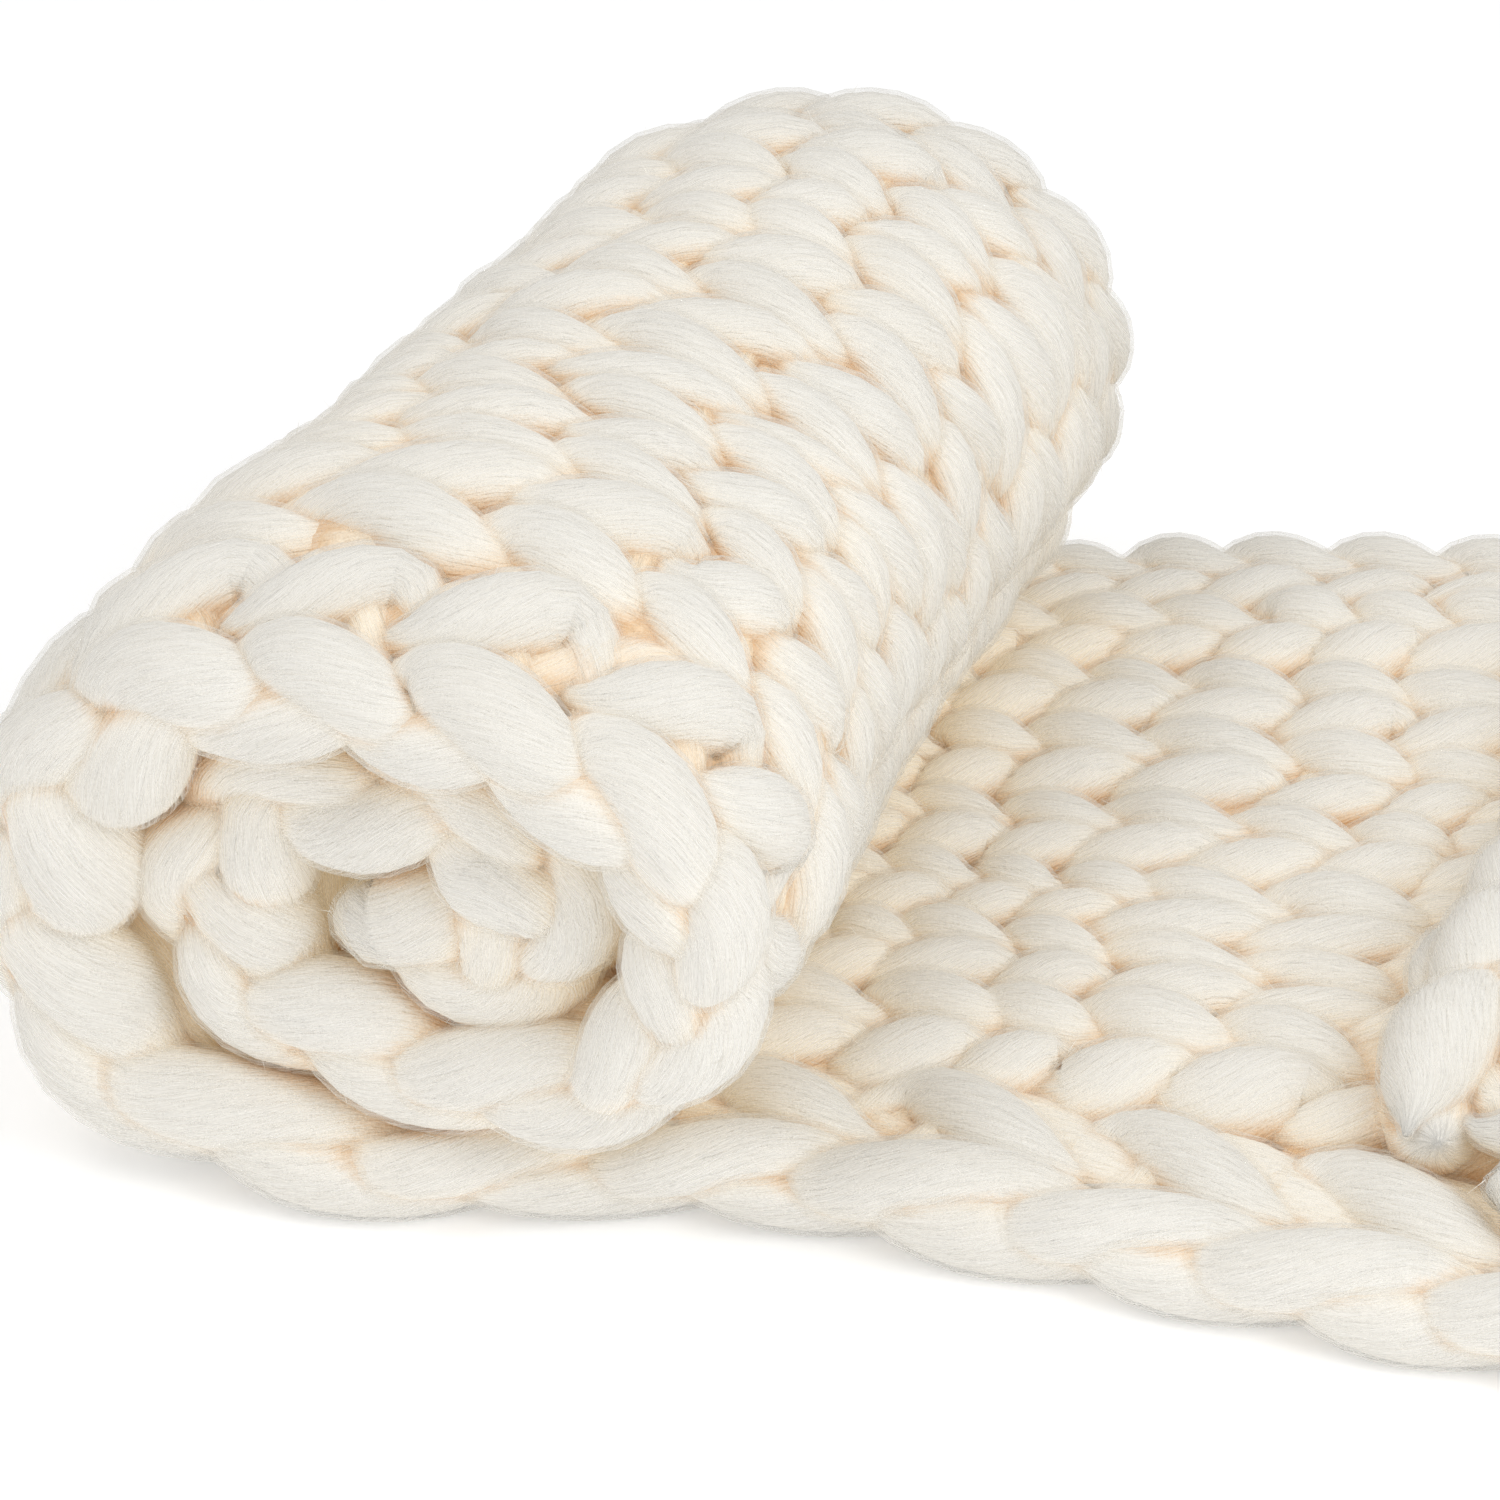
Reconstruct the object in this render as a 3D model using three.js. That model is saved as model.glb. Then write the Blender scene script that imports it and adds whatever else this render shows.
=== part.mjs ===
// Chunky knit blanket: one long throw of thick soft roving yarn, laid out flat,
// with one end rolled up and the other end folded back over itself.
//
// It is one sheet of cloth, so it is one solid. Its centre sheet is a function of
// two lengths: `run`, along the throw from the end of the folded-back flap to the
// loose end in the heart of the roll, and `across`, 0 at the near selvage and 1 at
// the far one. Both faces lie either side of that sheet, raised into the plump
// leaf-shaped legs of the knitted columns.
//
// Millimetres, Z up, X along the throw and Y along the axis of the roll.
import * as THREE from 'three';

// ---------------------------------------------------------------- driving sizes
const THICKNESS = 50;          // the laid cloth, floor to the crest of its face
const SQUEEZED = 42;           // the same cloth where turns press on each other
const RELIEF = 8;              // height of a knitted leg over the groove beside it
const COURSE = 54;             // one stitch along the throw
const FOLD_X = 620;            // where the cloth turns back on itself
const FLAP_END_X = 388;        // where the folded-back flap ends
const FOLD_RADIUS = 25;        // centre sheet of the fold, so the layers clear
const ROLL_TURNS = 1.86;       // from the floor under the roll to the loose end
const ROUND_EDGE = 13;         // how far a selvage bulges past the last column
const SELVAGE_FULLNESS = 0.72; // thickness at the last column, over the full one

// Cross-sections of the roll, from the near selvage to the far one. The near end
// has slumped wide and low, the far end stays round.
//   across  where the section is, 0 near to 1 far
//   radius  centre sheet, from the middle of the roll down to the floor turn
//   pitch   how much closer each turn is wound
//   spread  width over height
//   middle  x of the roll's middle
//   corner  how square the section is
//   heel    how square the turn-up from the floor is
const ROLL_SECTIONS = [
  { across: 0.00, radius: 130, pitch: 51, spread: 1.52, middle: -7, corner: 0.045, heel: 0.115 },
  { across: 0.12, radius: 142, pitch: 52, spread: 1.40, middle: -8, corner: 0.040, heel: 0.100 },
  { across: 0.50, radius: 149, pitch: 52, spread: 1.14, middle: -6, corner: 0.025, heel: 0.050 },
  { across: 0.85, radius: 147, pitch: 51, spread: 1.09, middle: -3, corner: 0.015, heel: 0.020 },
  { across: 1.00, radius: 141, pitch: 50, spread: 1.09, middle: -2, corner: 0.010, heel: 0.010 },
];

// The knitted columns across the throw: the selvage ones are slacker.
const COLUMNS = [
  { column: 'near selvage', width: 1.30 },
  { column: 'second', width: 1.18 },
  { column: 'third', width: 0.93 },
  { column: 'fourth', width: 0.90 },
  { column: 'fifth', width: 0.96 },
  { column: 'sixth', width: 0.98 },
  { column: 'seventh', width: 1.02 },
  { column: 'eighth', width: 1.10 },
  { column: 'far selvage', width: 1.12 },
];

// ------------------------------------------------------------ lengths of the run
const LENGTHS = {
  flap: FOLD_X - FLAP_END_X,
  fold: Math.PI * FOLD_RADIUS,
  laid: FOLD_X,
  roll: 0,
};
const REFERENCE = ROLL_SECTIONS[2];
const GIRTH = 2 * Math.PI * (1 + REFERENCE.spread) / 2;
LENGTHS.roll = GIRTH * (REFERENCE.radius * ROLL_TURNS
  - REFERENCE.pitch * ROLL_TURNS ** 2 / 2);
const FOLD_AT = LENGTHS.flap;
const LAID_AT = FOLD_AT + LENGTHS.fold;
const ROLL_AT = LAID_AT + LENGTHS.laid;
const RUN = ROLL_AT + LENGTHS.roll;

// The turns wound so far at a run inside the roll.
function turnsAt(run) {
  const wound = Math.max(0, run - ROLL_AT) / GIRTH;
  const { radius, pitch } = REFERENCE;
  return (radius - Math.sqrt(Math.max(0, radius ** 2 - 2 * pitch * wound))) / pitch;
}

// The run at which so many turns are wound.
function runAt(turns) {
  return ROLL_AT + GIRTH * (REFERENCE.radius * turns - REFERENCE.pitch * turns ** 2 / 2);
}

// Where the two selvages run: the laid cloth fans out to the right of the roll,
// and the flap lies a little askew.
//   run     along the throw
//   near    y of the near selvage's last column
//   far     y of the far selvage's last column
const SELVAGES = [
  { run: 0, near: -196, far: 452 },
  { run: FOLD_AT, near: -240, far: 468 },
  { run: LAID_AT + 40, near: -254, far: 474 },
  { run: ROLL_AT - 400, near: -258, far: 462 },
  { run: ROLL_AT - 226, near: -258, far: 412 },
  { run: ROLL_AT - 140, near: -264, far: 376 },
  { run: ROLL_AT - 70, near: -284, far: 346 },
  { run: ROLL_AT, near: -312, far: 326 },
  { run: ROLL_AT + 90, near: -322, far: 318 },
  { run: runAt(0.5), near: -316, far: 316 },
  { run: runAt(0.9), near: -310, far: 310 },
  { run: runAt(1.3), near: -298, far: 300 },
  { run: RUN, near: -292, far: 294 },
];

// --------------------------------------------------------------- small functions
// A smooth curve through one column of a table.
function through(rows, key, value, at) {
  const last = rows.length - 1;
  const x = Math.min(rows[last][key], Math.max(rows[0][key], at));
  let i = 0;
  while (i < last - 1 && x > rows[i + 1][key]) i += 1;
  const slope = (n) => {
    const a = Math.max(0, n - 1);
    const b = Math.min(last, n + 1);
    return (rows[b][value] - rows[a][value]) / (rows[b][key] - rows[a][key]);
  };
  const h = rows[i + 1][key] - rows[i][key];
  const t = (x - rows[i][key]) / h;
  const t2 = t * t;
  const t3 = t2 * t;
  return (2 * t3 - 3 * t2 + 1) * rows[i][value] + (t3 - 2 * t2 + t) * h * slope(i)
    + (3 * t2 - 2 * t3) * rows[i + 1][value] + (t3 - t2) * h * slope(i + 1);
}

// 0 before `from`, 1 after `to`, and smooth between.
function ease(from, to, x) {
  const t = Math.min(1, Math.max(0, (x - from) / (to - from)));
  return t * t * (3 - 2 * t);
}

// ------------------------------------------------------------------ centre sheet
// The section's x and z at a run, for a place across the throw.
function centre(run, across) {
  if (run < FOLD_AT) {
    return [FLAP_END_X + run, THICKNESS / 2 + 2 * FOLD_RADIUS];
  }
  if (run < LAID_AT) {
    const turn = (run - FOLD_AT) / FOLD_RADIUS;
    return [
      FOLD_X + FOLD_RADIUS * Math.sin(turn),
      THICKNESS / 2 + FOLD_RADIUS * (1 + Math.cos(turn)),
    ];
  }
  const at = (value) => through(ROLL_SECTIONS, 'across', value, across);
  const middle = at('middle');
  if (run < ROLL_AT) {
    return [FOLD_X + (middle - FOLD_X) * (run - LAID_AT) / LENGTHS.laid, THICKNESS / 2];
  }
  const turns = turnsAt(run);
  const angle = 2 * Math.PI * turns;
  const heel = 1 - ease(0.2, 0.3, turns);
  const corner = at('corner') + (at('heel') - at('corner')) * heel;
  const radius = at('radius') - at('pitch') * turns;
  const square = radius * (1 + corner * Math.sin(2 * angle) ** 2);
  return [
    middle - at('spread') * square * Math.sin(angle),
    THICKNESS / 2 + at('radius') - square * Math.cos(angle),
  ];
}

// The section's direction, which its two faces lie square to.
function square(run, across) {
  const a = centre(Math.max(0, run - 1.5), across);
  const b = centre(Math.min(RUN, run + 1.5), across);
  const length = Math.hypot(b[0] - a[0], b[1] - a[1]);
  return [(b[1] - a[1]) / length, -(b[0] - a[0]) / length];
}

// ------------------------------------------------------------------- both faces
// Height of a knitted leg. Each column is two rows of legs with a groove down the
// middle and one on each side, and each leg swells once in a course.
function leg(run, q) {
  const ridge = Math.sin(2 * Math.PI * q) ** 2;
  const swell = 0.62 + 0.38 * Math.cos(2 * Math.PI * (run / COURSE - 2 * Math.abs(q)));
  return RELIEF * (ridge * swell - 0.55);
}

// Half the thickness on the upper face: the face seen on the laid part, which
// ends up inside the roll and under the flap.
function upper(run, q) {
  const open = ease(FOLD_AT + 190, FOLD_AT + 330, run) * (1 - ease(ROLL_AT - 125, ROLL_AT - 70, run));
  const plain = SQUEEZED / 2;
  return plain + open * (THICKNESS / 2 - plain + leg(run, q));
}

// Half the thickness on the other face: flat on the floor, then the outside of
// the roll, and the top of the flap.
function under(run, q) {
  const plain = SQUEEZED / 2;
  if (run < LAID_AT) {
    const open = 1 - ease(FOLD_AT - 40, FOLD_AT + 30, run);
    return plain + 2 * ease(FOLD_AT, FOLD_AT + 60, run) + open * (2 + leg(run, q));
  }
  if (run < ROLL_AT + 12) {
    return THICKNESS / 2;
  }
  const turns = turnsAt(run);
  const lifted = ease(0.04, 0.14, turns) * (1 - ease(0.74, 0.90, turns));
  const pressed = THICKNESS / 2 + (plain - THICKNESS / 2) * ease(0.72, 0.90, turns);
  return pressed + lifted * (1 + leg(run, q));
}

// ------------------------------------------------- where the grid's points are
// Across: four points to a column, on its two grooves and its two rows of legs.
function stationsAcross() {
  const total = COLUMNS.reduce((sum, row) => sum + row.width, 0);
  const stations = [];
  let start = 0;
  for (const { width } of COLUMNS) {
    for (const q of [-0.5, -0.25, 0, 0.25]) {
      stations.push({ across: (start + (q + 0.5) * width) / total, q });
    }
    start += width;
  }
  stations.push({ across: 1, q: 0.5 });
  return stations;
}

// Along: half a course apart where the knitting shows, closer round the tight
// turns, and wider where the cloth is plain.
//   from, to  run
//   step      greatest spacing
const SPANS = [
  { span: 'flap', from: 0, to: FOLD_AT, step: 52 },
  { span: 'fold', from: FOLD_AT, to: LAID_AT, step: 17 },
  { span: 'under the flap', from: LAID_AT, to: LAID_AT + 216, step: 72 },
  { span: 'laid', from: LAID_AT + 216, to: ROLL_AT - 80, step: COURSE / 2 },
  { span: 'under the roll', from: ROLL_AT - 80, to: runAt(0.04), step: 40 },
  { span: 'outer turn', from: runAt(0.04), to: runAt(0.9), step: 29 },
  { span: 'inner turn', from: runAt(0.9), to: runAt(1.4), step: 31 },
  { span: 'heart', from: runAt(1.4), to: RUN, step: 21 },
];

function stationsAlong() {
  const stations = [0];
  for (const { from, to, step } of SPANS) {
    const steps = Math.ceil((to - from) / step);
    for (let i = 1; i <= steps; i += 1) {
      stations.push(from + (to - from) * i / steps);
    }
  }
  return stations;
}

// --------------------------------------------------------------- the closed skin
const along = stationsAlong();
const acrossAll = stationsAcross();
const positions = [];

// A point of the skin: `side` is +1 on the upper face, -1 on the other, and 0 on
// the rounded edge, which stands `bulge` past the selvage.
function addPoint(run, station, side, bulge = 0) {
  const { across, q } = station;
  const [x, z] = centre(run, across);
  const [nx, nz] = square(run, across);
  const near = through(SELVAGES, 'run', 'near', run);
  const far = through(SELVAGES, 'run', 'far', run);
  const endGap = Math.min(run, RUN - run);
  const selvage = across === 0 || across === 1 ? SELVAGE_FULLNESS : 1;
  const end = 0.68 + 0.32 * ease(0, 24, endGap);
  const half = side > 0 ? upper(run, q) : under(run, q);
  const floor = side < 0 && run >= LAID_AT && run < ROLL_AT + 12;
  const reach = floor ? half : half * selvage * end;
  positions.push(
    x + nx * side * reach,
    near + (far - near) * across + bulge,
    z + nz * side * reach,
  );
}

for (const run of along) {
  for (const station of acrossAll) {
    addPoint(run, station, 1);
  }
  addPoint(run, acrossAll[acrossAll.length - 1], 0, ROUND_EDGE);
  for (const station of [...acrossAll].reverse()) {
    addPoint(run, station, -1);
  }
  addPoint(run, acrossAll[0], 0, -ROUND_EDGE);
}

const ring = 2 * acrossAll.length + 2;
const index = [];

for (let i = 0; i < along.length - 1; i += 1) {
  for (let j = 0; j < ring; j += 1) {
    const next = (j + 1) % ring;
    const a = i * ring + j;
    const b = i * ring + next;
    const c = (i + 1) * ring + j;
    const d = (i + 1) * ring + next;
    index.push(a, b, d, a, d, c);
  }
}

// The two cut ends of the throw, closed across from face to face.
function closeEnd(row, flip) {
  const base = row * ring;
  const count = acrossAll.length;
  const upperPoint = (j) => base + j;
  const underPoint = (j) => base + 2 * count - j;
  const triangle = (a, b, c) => {
    if (flip) index.push(a, c, b);
    else index.push(a, b, c);
  };
  for (let j = 0; j < count - 1; j += 1) {
    triangle(upperPoint(j), underPoint(j), upperPoint(j + 1));
    triangle(upperPoint(j + 1), underPoint(j), underPoint(j + 1));
  }
  triangle(upperPoint(count - 1), underPoint(count - 1), base + count);
  triangle(underPoint(0), upperPoint(0), base + ring - 1);
}
closeEnd(0, false);
closeEnd(along.length - 1, true);

// ------------------------------------------------------------------- the blanket
const geometry = new THREE.BufferGeometry();
geometry.setAttribute('position', new THREE.Float32BufferAttribute(positions, 3));
geometry.setIndex(index);

// The model stands on the floor with its origin under the middle of its box.
geometry.computeBoundingBox();
const box = geometry.boundingBox;
const shift = [-(box.min.x + box.max.x) / 2, -(box.min.y + box.max.y) / 2, -box.min.z];
geometry.translate(...shift);
geometry.computeVertexNormals();

const wool = new THREE.MeshStandardMaterial({ color: 0xeee6d6, roughness: 0.95, metalness: 0 });
wool.name = 'cream roving yarn';

const blanket = new THREE.Mesh(geometry, wool);
blanket.name = 'blanket';

const group = new THREE.Group();
group.name = 'chunky knit blanket';
group.add(blanket);

export default group;
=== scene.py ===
# %% [markdown]
# # A chunky knit blanket, rolled at one end
#
# The real thing is one long throw, knitted by hand or on a few giant needles from roving:
# carded wool that is hardly spun, as thick as a thumb, soft and full of air. Nothing is sewn to
# it. One end is rolled up, the middle lies flat, and the other end is folded back over itself.
#
# The solid frame already has that form as a sheet about 50 mm thick. Here the sheet is knitted:
# every row of stitches is a strand of yarn that follows the path a needle gives it, laid on the
# same rolled and folded sheet. So the leaf-shaped legs, the gaps at their tips and the plaited
# selvages come from the path of the yarn, and not from a pattern painted on a surface.

# %% Open the frame
import math

import bpy
import numpy as np
from mathutils.bvhtree import BVHTree
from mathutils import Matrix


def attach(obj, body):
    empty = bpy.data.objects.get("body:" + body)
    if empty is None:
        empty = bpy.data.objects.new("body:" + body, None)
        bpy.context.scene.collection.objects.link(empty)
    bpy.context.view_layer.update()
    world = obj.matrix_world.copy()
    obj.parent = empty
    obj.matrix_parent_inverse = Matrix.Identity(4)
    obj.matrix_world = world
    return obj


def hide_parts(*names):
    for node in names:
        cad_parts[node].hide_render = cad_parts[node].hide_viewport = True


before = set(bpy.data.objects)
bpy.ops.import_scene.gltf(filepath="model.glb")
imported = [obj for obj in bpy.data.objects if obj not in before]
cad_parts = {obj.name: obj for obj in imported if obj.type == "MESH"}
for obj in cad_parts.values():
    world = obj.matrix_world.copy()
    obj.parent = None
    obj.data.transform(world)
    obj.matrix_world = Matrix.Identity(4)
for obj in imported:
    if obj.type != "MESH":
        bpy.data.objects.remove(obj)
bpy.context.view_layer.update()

TAU = 2 * math.pi
rng = np.random.default_rng(20)

# %% [markdown]
# ## The sheet that the yarn lies on
#
# A throw has two lengths that matter to its maker: along it, counted in rows, and across it,
# counted in columns of stitches. `run` is the length in millimetres from the end of the
# folded-back flap, along the floor, and up into the heart of the roll. `across` goes from 0 at
# the near selvage to 1 at the far one. Tables give the sizes that change along the way, and a
# smooth curve goes through each of their columns.
#
# The sheet could also be drawn as a few curves and swept, but then nothing would say where a row
# or a column lies on it. As a function of those two numbers it carries every strand of yarn.

# %% Sizes and tables
THICKNESS = 50.0
FOLD_X, FLAP_END_X, FOLD_RADIUS = 620.0, 388.0, 25.0
ROLL_TURNS = 1.86
BEYOND = 80.0                             # how far the tables go on past both ends, mm
END_SAG, SIDE_SAG = 8.0, 12.0             # how far the flap's end and near side hang down, mm
SHIFT = np.array([-224.30, -75.79, 0.0])  # puts the origin under the middle of the box

# across, radius, pitch, spread, middle, corner, heel
ROLL = np.array([
    [0.00, 130, 51, 1.52, -7, 0.045, 0.115],
    [0.12, 142, 52, 1.40, -8, 0.040, 0.100],
    [0.50, 149, 52, 1.14, -6, 0.025, 0.050],
    [0.85, 147, 51, 1.09, -3, 0.015, 0.020],
    [1.00, 141, 50, 1.09, -2, 0.010, 0.010],
])
COLUMN_WIDTHS = np.array([1.30, 1.18, 0.93, 0.90, 0.96, 0.98, 1.02, 1.10, 1.12])
COLUMN_EDGES = np.concatenate([[0], np.cumsum(COLUMN_WIDTHS)]) / COLUMN_WIDTHS.sum()
COLUMNS = len(COLUMN_WIDTHS)

RADIUS, PITCH, SPREAD = ROLL[2, 1], ROLL[2, 2], ROLL[2, 3]
GIRTH = TAU * (1 + SPREAD) / 2
FOLD_AT = FOLD_X - FLAP_END_X
LAID_AT = FOLD_AT + math.pi * FOLD_RADIUS
ROLL_AT = LAID_AT + FOLD_X


def run_at(turns):
    """The run at which so many turns are wound."""
    return ROLL_AT + GIRTH * (RADIUS * turns - PITCH * turns**2 / 2)


RUN = run_at(ROLL_TURNS)

# run, y of the near selvage, y of the far selvage
SELVAGES = np.array([
    [0, -196, 452],
    [FOLD_AT, -240, 468],
    [LAID_AT + 40, -254, 474],
    [ROLL_AT - 400, -258, 462],
    [ROLL_AT - 226, -258, 412],
    [ROLL_AT - 140, -264, 376],
    [ROLL_AT - 70, -284, 346],
    [ROLL_AT, -312, 326],
    [ROLL_AT + 90, -322, 318],
    [run_at(0.5), -316, 316],
    [run_at(0.9), -310, 310],
    [run_at(1.3), -298, 300],
    [RUN, -292, 294],
])

# run, length of a row there: rows bunch up beside the roll and stretch over its outside
ROWS = np.array([
    [-BEYOND, 54],
    [LAID_AT, 54],
    [ROLL_AT - 230, 54],
    [ROLL_AT - 110, 43],
    [ROLL_AT, 48],
    [ROLL_AT + 110, 54],
    [run_at(0.45), 58],
    [run_at(0.85), 57],
    [run_at(1.15), 52],
    [RUN + BEYOND, 50],
])


def through(table, column, at):
    """A smooth curve through one column of a table: a cubic between each two of its rows, with
    the slope at a row taken from the rows on either side."""
    x, y = table[:, 0], table[:, column]
    last = len(x) - 1
    before, after = np.maximum(np.arange(last + 1) - 1, 0), np.minimum(np.arange(last + 1) + 1, last)
    slope = (y[after] - y[before]) / (x[after] - x[before])
    at = np.clip(at, x[0], x[-1])
    i = np.clip(np.searchsorted(x, at, side="right") - 1, 0, last - 1)
    h = x[i + 1] - x[i]
    t = (at - x[i]) / h
    return ((2 * t**3 - 3 * t**2 + 1) * y[i] + (t**3 - 2 * t**2 + t) * h * slope[i]
            + (3 * t**2 - 2 * t**3) * y[i + 1] + (t**3 - t**2) * h * slope[i + 1])


def ease(start, end, x):
    """0 before start, 1 after end, and smooth between."""
    t = np.clip((x - start) / (end - start), 0, 1)
    return t * t * (3 - 2 * t)


def turns_at(run):
    """How many turns are wound at a run."""
    wound = np.maximum(0, run - ROLL_AT) / GIRTH
    return (RADIUS - np.sqrt(np.maximum(0, RADIUS**2 - 2 * PITCH * wound))) / PITCH


def centre(run, across):
    """x and z of the middle of the cloth. The flap and the laid part are straight lines, the
    fold is half a circle, and the roll is a spiral whose radius shrinks by a pitch each turn,
    stretched to its spread and squared a little at its corners."""
    middle = through(ROLL, 4, across)
    turns = turns_at(run)
    angle = TAU * turns
    corner, heel = through(ROLL, 5, across), through(ROLL, 6, across)
    corner = heel + (corner - heel) * ease(0.2, 0.3, turns)
    radius = through(ROLL, 1, across) - through(ROLL, 2, across) * turns
    radius = radius * (1 + corner * np.sin(2 * angle)**2)
    bend = (run - FOLD_AT) / FOLD_RADIUS
    places = [run < FOLD_AT, run < LAID_AT, run < ROLL_AT]
    x = np.select(places, [
        FLAP_END_X + run,
        FOLD_X + FOLD_RADIUS * np.sin(bend),
        FOLD_X + (middle - FOLD_X) * (run - LAID_AT) / FOLD_X,
    ], middle - through(ROLL, 3, across) * radius * np.sin(angle))
    z = np.select(places, [
        THICKNESS / 2 + 2 * FOLD_RADIUS + 0 * run,
        THICKNESS / 2 + FOLD_RADIUS * (1 + np.cos(bend)),
        THICKNESS / 2 + 0 * run,
    ], THICKNESS / 2 + through(ROLL, 1, across) - radius * np.cos(angle))
    return x, z


def square_to(run, across):
    """The direction square to the cloth, towards its upper face."""
    xa, za = centre(run - 2, across)
    xb, zb = centre(run + 2, across)
    length = np.hypot(xb - xa, zb - za)
    return np.stack([(zb - za) / length, 0 * run, -(xb - xa) / length], -1)


# How much thicker the cloth gets in the roll, as parts of its own thickness.
SIDE_SWELL = 0.8     # at the roll's sides, for a spread of 2
HEART_SWELL = 0.40   # on the inner face, in the heart
LEFT_SWELL = 0.62    # more of it at the near end, up the left side of the outer turn
MOUTH_SWELL = 0.55   # more of it at the near end, in the heart


def bulk(run, across, face):
    """How much thicker one side of the cloth is than on the laid part. Where the roll is wider
    than it is high its turns lie further apart at its sides, and the cloth swells to fill the
    room: with the spread less 1, times the square of the sine of the angle wound. The heart of
    the roll is the loosest."""
    turns = turns_at(run)
    grown = SIDE_SWELL * (through(ROLL, 3, across) - 1) * np.sin(TAU * turns)**2
    near = 1 - ease(0, 0.3, across)
    up_the_left = LEFT_SWELL * ease(0.04, 0.16, turns) * (1 - ease(0.34, 0.46, turns))
    inner = grown + HEART_SWELL * ease(0.9, 1.2, turns)
    inner = inner + near * (up_the_left + MOUTH_SWELL * ease(0.95, 1.15, turns))
    outer = grown * ease(0.85, 1.0, turns)
    return 1 + np.where(face > 0, inner, outer) * ease(0, 0.05, turns)


def on_cloth(run, across, height):
    """The point at a run and a place across, so high above the middle of the cloth. The flap
    sags a little at its end and at its near side."""
    x, z = centre(run, across)
    near, far = through(SELVAGES, 1, run), through(SELVAGES, 2, run)
    on_the_flap = 1 - ease(FOLD_AT - 90, FOLD_AT, run)
    sag = END_SAG * (1 - ease(0, 70, run)) + SIDE_SAG * (1 - ease(0, 0.2, across)) * on_the_flap
    flat = np.stack([x, near + (far - near) * across, z - sag], -1)
    return flat + square_to(run, across) * height[..., None]


RUN_STEPS = np.linspace(-BEYOND, RUN + BEYOND, 3000)


def counted(table):
    """How many rows or stitches have passed at each of the run's steps, from a table of their
    lengths: the sum of each step divided by the length of a row there."""
    lengths = through(table, 1, (RUN_STEPS[1:] + RUN_STEPS[:-1]) / 2)
    passed = np.concatenate([[0], np.cumsum(np.diff(RUN_STEPS) / lengths)])
    return passed - np.interp(0, RUN_STEPS, passed)


ROWS_PASSED = counted(ROWS)
ROW_COUNT = int(round(np.interp(RUN, RUN_STEPS, ROWS_PASSED)))


def run_of_row(row):
    """The run of a row number, whole or not."""
    return np.interp(row, ROWS_PASSED, RUN_STEPS)


def across_of_column(column):
    """Place across the cloth of a column number, straight on past both selvages."""
    inside = np.interp(column, np.arange(COLUMNS + 1), COLUMN_EDGES)
    edge = COLUMN_EDGES[1]
    return inside + edge * (np.minimum(column, 0) + np.maximum(column - COLUMNS, 0))


print("the throw is", round(RUN), "mm long and has", ROW_COUNT, "rows of", COLUMNS, "columns")

# %% [markdown]
# ## A strand of yarn
#
# Roving is a round, soft rope. A strand is a tube along a path: a ring of points square to the
# path at each of its points, fat where the yarn is free and thin where another strand nips it.
# All the strands of a piece are worked out together as one array and made into one mesh, closed
# at both ends of each strand. Blender's curves with a bevel could make round tubes too, but here
# a ring is a little flat, and its size and its facing come from the cloth at every step.


# %% Tubes along paths
FLOOR_GAP = 0.15   # mm
TIP_LENGTH = 0.6   # how far a strand's pointed end stands out, in radii


def unit(vectors):
    """The same directions, with a length of 1."""
    return vectors / np.maximum(np.linalg.norm(vectors, axis=-1, keepdims=True), 1e-9)


def tubes(paths, normals, radii, ring, flat=0.92):
    """Rings of points round many paths. With T along a path, N square to it towards the face of
    the cloth and B square to both, a ring is path + radius (flat cos a N + sin a B), for angles
    a once round."""
    along = unit(np.gradient(paths, axis=1))
    up = unit(normals - np.sum(normals * along, -1, keepdims=True) * along)
    side = np.cross(along, up)
    angle = (np.arange(ring) / ring * TAU + math.pi)[None, None, :, None]
    circle = flat * np.cos(angle) * up[:, :, None] + np.sin(angle) * side[:, :, None]
    return paths[:, :, None] + radii[:, :, None, None] * circle, along


def new_piece(name, vertices, corners, sizes):
    """An object from points in millimetres, and faces as one list of corners and their counts."""
    mesh = bpy.data.meshes.new(name)
    mesh.vertices.add(len(vertices))
    mesh.vertices.foreach_set("co", ((vertices + SHIFT) / 1000).ravel())
    mesh.loops.add(len(corners))
    mesh.loops.foreach_set("vertex_index", corners)
    mesh.polygons.add(len(sizes))
    mesh.polygons.foreach_set("loop_start", np.concatenate([[0], np.cumsum(sizes)[:-1]]))
    mesh.update(calc_edges=True)
    piece = bpy.data.objects.new(name, mesh)
    bpy.context.scene.collection.objects.link(piece)
    return piece


def add_values(piece, label, values):
    """Gives each point of a piece a number, for its material to read."""
    piece.data.attributes.new(label, "FLOAT", "POINT").data.foreach_set("value", values.ravel())


laid_strands = {}


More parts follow.
